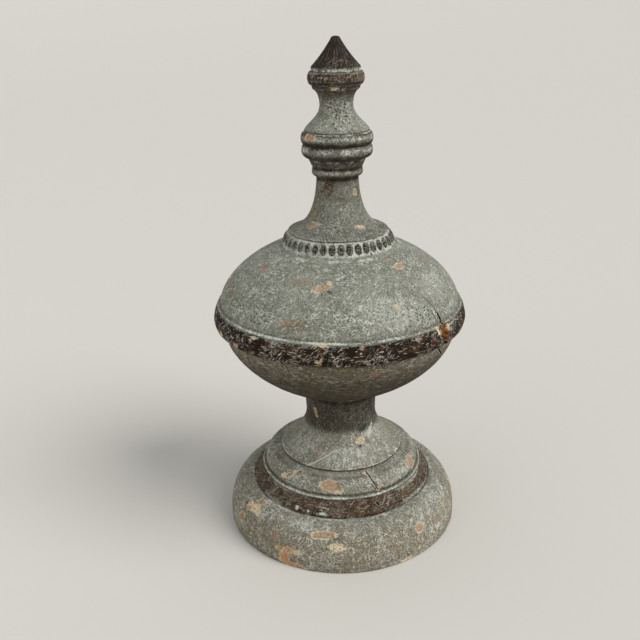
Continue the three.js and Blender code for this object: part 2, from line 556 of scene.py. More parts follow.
class Outline:
    """Turned outline in millimetres, drawn from the axis up."""

    RING_STEPS = 160
    CROWN_STEPS = 200
    SWEEP_STEPS = 240

    def __init__(self, start_height: float) -> None:
        """Start on the axis, out of sight.

        Args:
            start_height: height of the first point.
        """
        self.points: list[tuple[float, float]] = [(0.0, start_height)]
        self.shown: list[bool] = [False]
        self.in_sight = False

    def add(self, radii: Sequence[float], heights: Sequence[float]) -> None:
        """Add points, shown or not as the outline now is."""
        self.points += [(float(radius), float(height)) for radius, height in zip(radii, heights)]
        self.shown += [self.in_sight] * len(radii)

    def line(self, radius: float, climb: float) -> None:
        """Straight line.

        Args:
            radius: radius at the end.
            climb: height gained.
        """
        start_radius, start_height = self.points[-1]
        run = radius - start_radius
        count = max(2, int(math.hypot(run, climb) / OUTLINE_STEP))
        share = np.linspace(0, 1, count + 1)[1:]
        self.add(start_radius + run * share, start_height + climb * share)

    def curve(self, radii: np.ndarray, heights: np.ndarray) -> None:
        """Add a run of points, spaced as the straight lines are.

        Args:
            radii: radius of each point.
            heights: height of each point.
        """
        lengths = np.hypot(np.diff(radii), np.diff(heights))
        along = np.concatenate([[0.0], np.cumsum(lengths)])
        count = max(4, int(along[-1] / OUTLINE_STEP))
        even = np.linspace(0, along[-1], count + 1)[1:]
        self.add(np.interp(even, along, radii), np.interp(even, along, heights))

    def ring(self, widest: float, end_radius: float, climb: float) -> None:
        """Bead that swells to its widest half way up.

        Args:
            widest: radius half way up.
            end_radius: radius at the end.
            climb: height gained.
        """
        start_radius, start_height = self.points[-1]
        angle = np.linspace(-math.pi / 2, math.pi / 2, self.RING_STEPS)
        rest = np.where(angle < 0, start_radius, end_radius)
        radii = rest + (widest - rest) * np.cos(angle)
        self.curve(radii, start_height + climb / 2 * (1 + np.sin(angle)))

    def crown(self, end_radius: float, climb: float) -> None:
        """Quarter ellipse that starts upright and ends level.

        Args:
            end_radius: radius at the end.
            climb: height gained.
        """
        start_radius, start_height = self.points[-1]
        angle = np.linspace(0, math.pi / 2, self.CROWN_STEPS)
        radii = end_radius + (start_radius - end_radius) * np.cos(angle)
        self.curve(radii, start_height + climb * np.sin(angle))

    def sweep(self, end_radius: float, climb: float, handles: Sequence[float]) -> None:
        """Free curve with two handles.

        Args:
            end_radius: radius at the end.
            climb: height gained.
            handles: run and climb shares of the first handle, then of the last.
        """
        start_radius, start_height = self.points[-1]
        run = end_radius - start_radius
        share = np.linspace(0, 1, self.SWEEP_STEPS)
        first, last = 3 * share * (1 - share) ** 2, 3 * share**2 * (1 - share)
        across = first * handles[0] + last * handles[2] + share**3
        upward = first * handles[1] + last * handles[3] + share**3
        self.curve(start_radius + run * across, start_height + climb * upward)

    def hide(self) -> None:
        """Carry on out of sight."""
        self.in_sight = False

    def show(self) -> None:
        """Carry on in sight."""
        self.in_sight = True


@dataclass(frozen=True)
class Ripple:
    """Smooth unevenness that closes on itself around the turned body."""

    waves: int
    most_around: int
    shortest: float
    seed: int

    def at(self, turn: np.ndarray, along: np.ndarray) -> np.ndarray:
        """Height of the ripple, roughly between -1 and 1.

        Args:
            turn: angles, in radians.
            along: places along the outline, in millimetres.

        Returns:
            The ripple on the grid of both.
        """
        draw = np.random.RandomState(self.seed)
        total = np.zeros((along.size, turn.size))
        for _ in range(self.waves):
            around = draw.randint(0, self.most_around + 1)
            rate = draw.uniform(-1, 1) * 2 * math.pi / self.shortest
            phase = draw.uniform(0, 2 * math.pi)
            total += np.cos(around * turn[None, :] + rate * along[:, None] + phase)
        return total / math.sqrt(self.waves / 2) / 2


@dataclass
class TurnedSkin:
    """Dense turned mesh: rows along the outline, columns around, relief along the normal."""

    outline: Outline
    rows: int
    columns: np.ndarray
    mean_radius: float
    edge_round: float = 0.35
    bend_weight: float = 3.2
    hidden_weight: float = 0.06
    hollow_reach: float = 1.3
    hollow_gain: float = 1.6
    ridge_reach: float = 0.8
    ridge_gain: float = 1.3
    slimmest: float = 8.0

    def __post_init__(self) -> None:
        """Round the outline's edges and pick its rows, closer where it bends."""
        raw = np.array(self.outline.points)
        soft = np.stack([self.spread(raw[:, axis], self.edge_round) for axis in (0, 1)], 1)
        soft[0] = raw[0]
        soft[-1] = raw[-1]
        length = np.hypot(*np.diff(soft, axis=0).T)
        arc = np.concatenate([[0.0], np.cumsum(length)]) + np.arange(len(raw)) * 1e-9
        slope = np.gradient(soft, arc, axis=0)
        slope /= np.maximum(np.hypot(*slope.T), 1e-9)[:, None]
        bend = np.gradient(np.unwrap(np.arctan2(slope[:, 1], slope[:, 0])), arc)
        wanted = 1 + self.bend_weight * np.minimum(np.abs(bend), SHARPEST_BEND)
        wanted = np.where(self.outline.shown, wanted, self.hidden_weight)
        packed = np.concatenate([[0.0], np.cumsum((wanted[1:] + wanted[:-1]) / 2 * length)])
        picks = np.interp(np.linspace(0, packed[-1], self.rows + 2)[1:-1], packed, arc)
        twist = np.concatenate([[0.0], np.cumsum(length / np.maximum(soft[1:, 0], self.slimmest))])
        hollow = self.spread(np.clip(-bend, 0, SHARPEST_BEND), self.hollow_reach) * self.hollow_gain
        ridge = self.spread(np.clip(bend, 0, SHARPEST_BEND), self.ridge_reach) * self.ridge_gain
        self.height_table = (soft[:, 1], arc)
        self.radius = np.interp(picks, arc, soft[:, 0])
        self.height = np.interp(picks, arc, soft[:, 1])
        self.twist = np.interp(picks, arc, twist)
        self.along = picks
        self.hollow = np.interp(picks, arc, hollow)
        self.ridge = np.interp(picks, arc, ridge)
        self.out = np.interp(picks, arc, slope[:, 1])
        self.up = -np.interp(picks, arc, slope[:, 0])
        self.ends = (float(raw[0, 1]), float(raw[-1, 1]))
        self.shape = (picks.size, self.columns.size)

    @staticmethod
    def spread(values: np.ndarray, reach: float) -> np.ndarray:
        """Spread values along the outline.

        Args:
            values: one for each point of the outline.
            reach: how far they spread, in millimetres.

        Returns:
            The softer values.
        """
        count = int(4 * reach / OUTLINE_STEP)
        offsets = np.arange(-count, count + 1) * OUTLINE_STEP
        bell = np.exp(-0.5 * (offsets / reach) ** 2)
        return np.convolve(np.pad(values, count, mode="edge"), bell / bell.sum(), "valid")

    def station(self, height: float) -> float:
        """Place along the outline at a height."""
        return float(np.interp(height, *self.height_table))

    def gap(self, turn: float) -> np.ndarray:
        """Angle of each column from a turn in degrees, in radians between -pi and pi."""
        gap = self.columns - math.radians(turn)
        return (gap + math.pi) % (2 * math.pi) - math.pi

    def even(self, values: Union[np.ndarray, float]) -> np.ndarray:
        """Values by row, repeated around."""
        return np.broadcast_to(np.asarray(values, float).reshape(-1, 1), self.shape).copy()

    def between(self, low: float, high: float) -> np.ndarray:
        """Depth inside the stretch between two heights, in millimetres, negative outside."""
        start, stop = self.station(low), self.station(high)
        return self.even(np.minimum(self.along - start, stop - self.along))

    def above(self, height: float, reach: float) -> np.ndarray:
        """0 up to a height and 1 from a reach above it, by row."""
        return np.clip((self.along - self.station(height)) / reach, 0, 1)

    def below(self, height: float, reach: float) -> np.ndarray:
        """0 down to a height and 1 from a reach below it, by row."""
        return np.clip((self.station(height) - self.along) / reach, 0, 1)

    def facing(self, turn: float, full: float, fade: float) -> np.ndarray:
        """1 within full radians of a turn in degrees, then fading to 0 over fade radians, by column."""
        return np.clip(1 - (np.abs(self.gap(turn)) - full) / fade, 0, 1)

    def oval(self, mark: Mark) -> np.ndarray:
        """Depth inside an oval mark, in millimetres, negative outside.

        Args:
            mark: the oval.

        Returns:
            The depth at each row and column.
        """
        across = self.radius[:, None] * self.gap(mark.turn)[None, :]
        upward = (self.along - self.station(mark.height))[:, None]
        tilt = math.radians(mark.tilt)
        first = (across * math.cos(tilt) + upward * math.sin(tilt)) / (mark.length / 2)
        second = (upward * math.cos(tilt) - across * math.sin(tilt)) / (mark.width / 2)
        return (1 - np.hypot(first, second)) * min(mark.length, mark.width) / 2

    def path(self, line: Line) -> np.ndarray:
        """Depth inside a drawn line, in millimetres, negative outside.

        Args:
            line: the crack or scratch.

        Returns:
            The depth at each row and column.
        """
        upward = self.along[:, None]
        nearest = np.full(self.shape, -UNMARKED)
        for (turn, height), (next_turn, next_height) in zip(line.points, line.points[1:]):
            across = self.radius[:, None] * self.gap(turn)[None, :]
            run = self.radius[:, None] * math.radians(next_turn - turn)
            low = self.station(height)
            climb = self.station(next_height) - low
            share = (across * run + (upward - low) * climb) / (run**2 + climb**2)
            share = np.clip(share, 0, 1)
            away = np.hypot(across - run * share, upward - low - climb * share)
            nearest = np.minimum(nearest, away)
        return line.width - nearest

    def wrapped(self, twist: float) -> np.ndarray:
        """Place of each point on a cylinder of the mean radius, for noise that closes on itself.

        Args:
            twist: how far brush strokes lean, as the tangent of the angle.

        Returns:
            Three numbers for each row and column, in millimetres.
        """
        turn = self.columns[None, :] - twist * self.twist[:, None]
        sides = [self.mean_radius * np.sin(turn), self.mean_radius * np.cos(turn)]
        return np.stack(sides + [self.even(self.along)], -1)

    def build(
        self,
        name: str,
        relief: np.ndarray,
        measures: dict[str, np.ndarray],
        widest: Optional[np.ndarray] = None,
    ) -> bpy.types.Object:
        """Make the mesh, closed by a point on the axis at each end.

        Args:
            name: the object's name.
            relief: height above the outline for each row and column, in millimetres.
            measures: numbers to keep on the mesh for its paint.
            widest: radius that no point may stand outside of.

        Returns:
            The object, in metres.
        """
        radius = self.radius[:, None] + relief * self.out[:, None]
        height = np.maximum(self.height[:, None] + relief * self.up[:, None], 0.0)
        if widest is not None:
            radius = np.minimum(radius, widest)
        sine, cosine = np.sin(self.columns)[None, :], -np.cos(self.columns)[None, :]
        poles = np.array([[0, 0, self.ends[0]], [0, 0, self.ends[1]]])
        spots = np.stack([radius * sine, radius * cosine, height], -1).reshape(-1, 3)
        count, around = self.shape
        ring = np.arange(around)
        after = (ring + 1) % around
        rise = np.arange(count - 1)[:, None] * around
        near, far = (rise + ring).reshape(-1), (rise + after).reshape(-1)
        walls = np.stack([near, far, far + around, near + around], 1)
        top, low_pole = (count - 1) * around, np.full(around, count * around)
        bottom_faces = np.stack([after, ring, low_pole], 1)
        top_faces = np.stack([ring + top, after + top, low_pole + 1], 1)
        mesh = bpy.data.meshes.new(name)
        faces = walls.tolist() + bottom_faces.tolist() + top_faces.tolist()
        mesh.from_pydata((np.concatenate([spots, poles]) * MM).tolist(), [], faces)
        mesh.polygons.foreach_set("use_smooth", [True] * len(mesh.polygons))
        for label, values in measures.items():
            flat = values.reshape(-1)
            kept = np.concatenate([flat, [flat[0], flat[-1]]]).astype(np.float32)
            mesh.attributes.new(label, "FLOAT", "POINT").data.foreach_set("value", kept)
        for label, twist in STROKE_LEANS.items():
            flat = self.wrapped(twist).reshape(-1, 3)
            kept = np.concatenate([flat, flat[:1], flat[-1:]]).astype(np.float32).reshape(-1)
            mesh.attributes.new(label, "FLOAT_VECTOR", "POINT").data.foreach_set("vector", kept)
        mesh.update()
        piece = bpy.data.objects.new(name, mesh)
        bpy.context.scene.collection.objects.link(piece)
        return piece


def columns_around(spans: Triples) -> np.ndarray:
    """Angles around the body, from spans of start, stop and step in degrees.

    Args:
        spans: stretches that follow each other and make one full turn.

    Returns:
        The angles in radians.
    """
    parts = []
    for start, stop, step in spans:
        count = max(1, round((stop - start) / step))
        parts.append(np.linspace(start, stop, count, endpoint=False))
    return np.radians(np.concatenate(parts))


@dataclass
class Wear:
    """Marks, cracks and scratches of one piece, turned into relief and paint measures."""

    marks: Sequence[Mark]
    lines: Sequence[Line]
    chip_depth: float = 0.3
    chip_edge: float = 0.9

    def lay(self, skin: TurnedSkin) -> tuple[np.ndarray, dict[str, np.ndarray]]:
        """Work the wear out on a skin.

        Args:
            skin: the turned skin that carries it.

        Returns:
            The relief in millimetres, and each measure by its name.
        """
        names = [kind.value for kind in MarkKind] + [kind.value for kind in LineKind]
        measures = {name: np.full(skin.shape, UNMARKED) for name in names}
        relief = np.zeros(skin.shape)
        for mark in self.marks:
            depth = skin.oval(mark)
            measures[mark.kind.value] = np.maximum(measures[mark.kind.value], depth)
            if mark.kind in (MarkKind.BRICK, MarkKind.TAN, MarkKind.CREAM):
                relief -= self.chip_depth * np.clip(depth / self.chip_edge + 0.3, 0, 1)
        for line in self.lines:
            depth = skin.path(line)
            measures[line.kind.value] = np.maximum(measures[line.kind.value], depth)
            relief -= line.depth * np.clip(depth / line.width, 0, 1)
        # Hollows take painted shade with grime
        measures["hollow"] = skin.even(skin.hollow)
        # Convex edges, mostly those facing up, take white edge wear that is partly a painted highlight
        measures["ridge"] = skin.even(skin.ridge * np.clip(0.5 + skin.up, 0, 1))

        # 1 on faces turned straight down, 0 on those that already turn up a little; these faces are
        # painted darker as shade
        measures["under"] = skin.even(np.clip((0.3 - skin.up) / 1.3, 0, 1))

        for label in ("dark", "bare"):
            measures[label] = np.full(skin.shape, UNMARKED)
        for label in ("wash", "shade_and_grime", "upright", "beads", "brown_tint", "groove_shade", "combed"):
            measures[label] = np.zeros(skin.shape)
        return relief, measures


@dataclass(frozen=True)
class Gathering:
    """Whitewash, dirt and painted shade that lie unevenly along turned lines."""

    waves: int
    most_around: int
    seed: int
    usual: float
    swing: float
    shortest: float = 60.0

    def on(self, skin: TurnedSkin, places: Triples) -> np.ndarray:
        """Lay it along the given lines.

        Args:
            skin: the turned skin.
            places: height, half width and strength of each line.

        Returns:
            The strength at each row and column.
        """
        total = np.zeros(skin.shape)
        for number, (height, half_width, strength) in enumerate(places):
            ripple = Ripple(self.waves, self.most_around, self.shortest, self.seed + number)
            share = np.clip(self.usual + self.swing * ripple.at(skin.columns, np.zeros(1)), 0, 1)
            away = (skin.along - skin.station(height)) / half_width
            total += strength * np.exp(-0.5 * away[:, None] ** 2) * share
        return total


WHITEWASH = Gathering(waves=9, most_around=14, seed=70, usual=0.8, swing=0.5)
# Lines of painted shade in grooves and under lips, with some dirt
SHADE_AND_DIRT_LINES = Gathering(waves=11, most_around=22, seed=170, usual=0.9, swing=0.4)


def hand_turned(skin: TurnedSkin, seed: int) -> np.ndarray:
    """Slight wobble and lumpy paint of a hand-finished piece.

    Args:
        skin: the turned skin.
        seed: picks the wobble, and the next one the lumps.

    Returns:
        The relief at each row and column, in millimetres.
    """
    wobble = Ripple(waves=14, most_around=5, shortest=90.0, seed=seed)
    lumps = Ripple(waves=40, most_around=40, shortest=9.0, seed=seed + 1)
    places = (skin.columns, skin.along)
    return 0.16 * wobble.at(*places) + 0.07 * lumps.at(*places)


@dataclass(frozen=True)
class Brushwork:
    """Noises that every coat of the paint shares, each between 0 and 1."""

    cloud: Wire
    mottle: Wire
    fine: Wire
    patch: Wire
    pits: Wire
    ragged: Wire
    across: Wire
    upward: Wire
    rise: Wire
    fall: Wire
    curls: Wire
    small_curls: Wire

    @classmethod
    def on(cls, bench: Bench) -> "Brushwork":
        """Lay the noises on a bench.

        Args:
            bench: where the nodes stand.

        Returns:
            The noises.
        """
        spot = bench.node("ShaderNodeTexCoord", {}, {}, "Object")
        place = bench.vector("MULTIPLY", spot, (1 / MM, 1 / MM, 1 / MM))
        drift = bench.noise(place, (9, 9, 9), layers=1.0, rough=0.5, seed=0, output=1)
        drift = bench.vector("SUBTRACT", drift, (0.5, 0.5, 0.5))
        swirl = bench.vector("MULTIPLY_ADD", drift, (6.0, 6.0, 6.0), place)
        warp = (3.6, 3.6, 3.6)
        level, rising, falling = (
            bench.vector("MULTIPLY_ADD", drift, warp, bench.place(name)) for name in STROKE_LEANS
        )
        return cls(
            cloud=bench.grain(place, 24, 3, 0.6, 1),
            mottle=bench.grain(place, 5.5, 4, 0.65, 2),
            fine=bench.grain(place, 1.15, 3, 0.7, 3),
            patch=bench.grain(place, 16, 2, 0.5, 4),
            pits=bench.grain(place, 1.6, 2, 0.6, 7),
            ragged=bench.grain(place, 2.8, 3, 0.65, 9),
            across=bench.noise(level, (4.2, 4.2, 0.62), 1.0, 0.5, 1),
            upward=bench.noise(level, (0.9, 0.9, 9.0), 1.0, 0.5, 8),
            rise=bench.noise(rising, (0.55, 0.55, 4.2), 1.0, 0.5, 2),
            fall=bench.noise(falling, (0.55, 0.55, 3.8), 1.0, 0.5, 3),
            curls=bench.curls(swirl, 3.2, 0.04, 5),
            small_curls=bench.curls(swirl, 1.8, 0.05, 6),
        )

    def uneven(self, edge: Wire, coarse: float, small: float) -> Wire:
        """Edge made uneven by the mottled and the fine noise, each with its own strength."""
        mottled = edge + (self.mottle - 0.5) * coarse if coarse else edge
        return mottled + (self.fine - 0.5) * small if small else mottled


@dataclass(frozen=True)
class ChalkPaint:
    """Chalky grey-green paint, brushed white, over brown bands and a brick and cream ground, with
    painted shade and painted light in its colour.
    """

    grey: Colour = paint(124, 125, 113)
    grey_green: Colour = paint(110, 114, 102)
    grey_dark: Colour = paint(76, 76, 65)
    grey_pale: Colour = paint(164, 166, 155)
    white: Colour = paint(216, 218, 209)
    off_white: Colour = paint(198, 197, 186)
    tea: Colour = paint(114, 96, 68)
    umber: Colour = paint(93, 75, 58)
    umber_dark: Colour = paint(60, 48, 35)
    bark: Colour = paint(72, 50, 33)
    bark_dark: Colour = paint(30, 21, 13)
    cap_brown: Colour = paint(52, 45, 37)
    bead_green: Colour = paint(33, 34, 25)
    brick: Colour = paint(152, 119, 97)
    tan: Colour = paint(184, 140, 100)
    cream: Colour = paint(216, 200, 172)
    raw_wood: Colour = paint(142, 93, 52)
    stain: Colour = paint(54, 64, 60)
    # Brown for grime and for painted shade
    grime_and_shade: Colour = paint(48, 36, 21)

    def ground(self, bench: Bench, noise: Brushwork) -> tuple[Wire, Wire]:
        """Grey coat with its white dry brushing, its dirt and its painted shade.

        Args:
            bench: where the nodes stand.
            noise: the shared noises.

        Returns:
            The colour, and where the white brushing is.
        """
        mottle, fine, cloud, patch = noise.mottle, noise.fine, noise.cloud, noise.patch
        # Pale patches of painted light, and speckled places
        washed = noise.uneven(bench.measure("washed"), 9, 0).step(-2.5, 4.0)
        speckled = noise.uneven(bench.measure("speckled"), 8, 0).step(-2.0, 3.0)
        combed = bench.measure("combed")

        # Strokes of a nearly dry brush: leaning both ways, level, curling and upright
        rise = noise.rise.step(0.57, 0.63) * patch.step(0.42, 0.56) * (1 - combed * 0.7)
        fall = noise.fall.step(0.57, 0.63) * patch.step(0.56, 0.42) * (1 - combed * 0.7)
        across = noise.across.step(0.58, 0.64) * (cloud + combed * 0.14).step(0.46, 0.58)
        curls = noise.curls * (mottle + washed * 0.08).step(0.5, 0.62)
        small = noise.small_curls * (cloud + speckled * 0.3 + washed * 0.08).step(0.5, 0.62)
        fan = noise.upward.step(0.53, 0.6) * bench.measure("upright")
        brushed = rise.most(fall).most(across).most(curls).most(small).most(fan)
        brushed = brushed * (fine.step(0.36, 0.5) * 0.8 + 0.2) * (mottle.step(0.36, 0.56) * 0.6 + 0.4)

        # The grey coat, with its drifts, its pale patches of painted light and its brown tint
        coat = bench.blend(mottle.step(0.38, 0.62), self.grey, self.grey_green)
        coat = bench.blend(cloud.step(0.44, 0.68) * 0.4, coat, self.grey_dark)
        coat = bench.blend((1 - cloud).step(0.46, 0.66) * 0.35 + washed * 0.22, coat, self.grey_pale)
        haze = (patch + (mottle - 0.5) * 0.4 + washed * 0.12).step(0.5, 0.8)
        coat = bench.blend(haze * 0.3, coat, self.grey_pale)
        brown_tint = bench.measure("brown_tint") * (mottle * 2 - 0.05)
        teas = noise.uneven(bench.measure("tea"), 9, 0).step(-1.5, 3.5) * 0.6
        coat = bench.blend(brown_tint.most(teas), coat, self.tea)

        # Painted shade on faces turned down, and painted shade with grime in hollows and on the marked
        # places, lies under the flecks and the white strokes
        under = bench.measure("under") * (0.7 + mottle * 0.6)
        coat = bench.blend(under.step(0.05, 0.9) * 0.85, coat, self.grime_and_shade)
        shade_and_grime_total = bench.measure("hollow") + bench.measure("shade_and_grime")
        dirt_and_shade = noise.uneven(shade_and_grime_total, 0.9, 0.4).step(0.12, 0.85)
        coat = bench.blend(dirt_and_shade * 0.9, coat, self.grime_and_shade)
        unshaded_clean_paint = (1 - dirt_and_shade * 0.68) * (1 - under.step(0.2, 0.8) * 0.5)
        coat = bench.blend(fine.step(0.46, 0.37) * 0.8, coat, self.grey_dark)
        pale_flecks = fine.step(0.56, 0.63) * unshaded_clean_paint * (0.55 + washed * 0.2)
        coat = bench.blend(pale_flecks, coat, self.grey_pale)
        coat = bench.blend(brushed * unshaded_clean_paint * 0.84, coat, self.white)
        deep = (noise.pits - speckled * 0.1).step(0.34, 0.28)
        coat = bench.blend(deep * 0.85, coat, self.bark_dark)
        # White on convex edges facing up: dry-brush edge wear, partly a painted highlight
        ridge = noise.uneven(bench.measure("ridge"), 2.2, 1.6).step(0.35, 0.95)
        coat = bench.blend(ridge * 0.5, coat, self.white)
        return coat, brushed

    def bands(self, bench: Bench, noise: Brushwork, coat: Wire) -> tuple[Wire, Wire]:
        """Dark brown bands, beads and cap with brush residue, the plainer brown band, and painted shade
        along grooves and under lips.

        Args:
            bench: where the nodes stand.
            noise: the shared noises.
            coat: the grey coat underneath.

        Returns:
            The colour, and where it is dark.
        """
        mottle, fine = noise.mottle, noise.fine
        beads = bench.measure("beads")
        uneven = (mottle - 0.5) * 3.0 + (fine - 0.5) * 1.6
        dark = (bench.measure("dark") + uneven * (0.6 - beads * 0.2)).step(-0.25, 0.3)
        brown = (bench.measure("brown") + uneven).step(-0.3, 0.5)
        upright = bench.measure("upright")
        strokes = noise.across * (1 - upright) + noise.upward * upright

        # The plainer brown of the foot's band, the torus and some marks
        umber = bench.blend(mottle.step(0.38, 0.62), self.umber, self.umber_dark)
        umber = bench.blend(fine.step(0.5, 0.36) * 0.6, umber, self.bark_dark)
        umber = bench.blend(strokes.step(0.58, 0.64) * fine.step(0.4, 0.6) * 0.6, umber, self.off_white)
        umber = bench.blend(noise.rise.step(0.62, 0.67) * 0.6, umber, self.grey_pale)
        coat = bench.blend(brown, coat, umber)

        # The dark brown of rim, beads and cap, with what a white brush left on it
        bark = bench.blend(mottle.step(0.46, 0.64), self.bark_dark, self.bark)
        bark = bench.blend(upright * 0.8, bark, self.cap_brown)
        streak_dark = noise.upward.step(0.5, 0.4) * upright
        bark = bench.blend(streak_dark * 0.7, bark, self.bark_dark)
        bark = bench.blend(beads, bark, self.bead_green)
        patch = noise.patch
        curled = noise.curls * patch.step(0.52, 0.6) * mottle.step(0.44, 0.54) * (1 - beads)
        curled = curled.most(noise.small_curls * beads * 0.6)
        slanted = noise.rise.step(0.6, 0.64) * patch.step(0.42, 0.54)
        streaked = (strokes.step(0.6, 0.64) * mottle.step(0.42, 0.54)).most(slanted) * (1 - beads)
        residue = streaked.most(curled) * fine.step(0.36, 0.46)
        bark = bench.blend(beads * fine.step(0.52, 0.62) * 0.4, bark, self.grey_pale)
        bark = bench.blend(residue * (0.8 - upright * 0.6), bark, self.off_white)
        coat = bench.blend(dark, coat, bark)
        # Painted shade along the grooves and under the lips
        groove_shade = noise.uneven(bench.measure("groove_shade"), 1.1, 0.8).step(0.3, 0.9)
        return bench.blend(groove_shade * 0.7, coat, self.bark_dark), dark.most(brown)

    def chips(self, bench: Bench, noise: Brushwork, coat: Wire) -> tuple[Wire, Wire]:
        """Chips down to the brick, tan and cream ground, rubbed places and stains.

        Args:
            bench: where the nodes stand.
            noise: the shared noises.
            coat: the coats underneath.

        Returns:
            The colour, and the depth inside the nearest chip.
        """
        mottle, fine = noise.mottle, noise.fine
        stained = noise.uneven(bench.measure("stain"), 5, 2).step(-0.4, 0.8)
        coat = bench.blend(stained * 0.9, coat, self.stain)
        paled = noise.uneven(bench.measure("pale"), 0, 3).step(-0.3, 0.6)
        coat = bench.blend(paled * 0.75, coat, self.white)
        rubbed = noise.uneven(bench.measure("rubbed"), 6, 4).step(0.0, 1.2)
        coat = bench.blend(rubbed * 0.5, coat, self.brick)

        # Chips have a torn edge with a broken cream rim, and mixed ground colours inside
        ragged = (noise.ragged - 0.5) * 4.0 + (fine - 0.5) * 1.6
        edges = {kind: bench.measure(kind) + ragged for kind in ("brick", "tan", "cream")}
        chip = edges["brick"].most(edges["tan"]).most(edges["cream"])
        rim = chip.step(-0.7, -0.3) * mottle.step(0.4, 0.5)
        coat = bench.blend(rim * 0.8, coat, self.cream)
        fills = {
            "cream": bench.blend(noise.ragged.step(0.56, 0.64) * 0.6, self.cream, self.brick),
            "tan": bench.blend(fine.step(0.48, 0.66) * 0.6, self.tan, self.cream),
            "brick": bench.blend(noise.ragged.step(0.6, 0.52) * 0.3, self.brick, self.tan),
        }
        fills["brick"] = bench.blend(fine.step(0.53, 0.62) * 0.45, fills["brick"], self.cream)
        fills["cream"] = bench.blend(fine.step(0.47, 0.38) * 0.5, fills["cream"], self.tan)
        strengths = {"cream": 0.8, "tan": 0.75, "brick": 0.5}
        for kind, fill in fills.items():
            cover = edges[kind].step(-0.05, 0.35) * (mottle * 0.5 + strengths[kind])
            coat = bench.blend(cover, coat, fill)
        inside = chip.step(-0.5, 0.1)
        coat = bench.blend(inside * fine.step(0.46, 0.36) * 0.6, coat, self.umber)
        coat = bench.blend(inside * noise.ragged.step(0.46, 0.38) * 0.5, coat, self.grey_green)
        return coat, chip

    def material(self, name: str) -> bpy.types.Material:
        """Lay the paint's coats over each other.

        Args:
            name: the material's name.

        Returns:
            The material.
        """
        bench = Bench(name)
        noise = Brushwork.on(bench)
        mottle, fine = noise.mottle, noise.fine
        coat, brushed = self.ground(bench, noise)
        coat, dark = self.bands(bench, noise, coat)
        wash = bench.measure("wash") * (fine * 4.0 + mottle * 3.0 - 2.5)
        coat = bench.blend(wash.step(0.2, 0.9) * 0.7, coat, self.white)
        bare = noise.uneven(bench.measure("bare"), 0, 0.8).step(-0.1, 0.4)
        wood = bench.blend(noise.upward.step(0.48, 0.62) * 0.7, self.raw_wood, self.bark_dark)
        coat = bench.blend(bare, coat, wood)
        coat, chip = self.chips(bench, noise, coat)
        scratch = noise.uneven(bench.measure("scratch"), 0, 1.4).step(-0.1, 0.35)
        coat = bench.blend(scratch * 0.7, coat, self.off_white)
        crack = noise.uneven(bench.measure("crack"), 0, 1.0)
        coat = bench.blend(crack.step(-0.6, -0.2) * 0.45, coat, self.off_white)
        coat = bench.blend(crack.step(-0.2, 0.15), coat, self.bark_dark)

        # Cracks and chips are sunk a little, and strokes stand up a little
        rough = 0.84 - dark * 0.1 + brushed * 0.06
        bumps = mottle * 0.14 + fine * 0.16 + brushed * 0.1 - chip.step(-0.5, 0.3) * 0.22
        bumps = bumps + noise.across * dark * 0.2 - crack.step(-0.4, 0.3) * 0.3
        heights = {"Strength": 1.0, "Distance": MM, "Height": bumps}
        normal = bench.node("ShaderNodeBump", {}, heights)
        sockets = {"Base Color": coat, "Roughness": rough, "Normal": normal, "Specular IOR Level": 0.12}
        return bench.finish(bench.node("ShaderNodeBsdfPrincipled", {}, sockets))


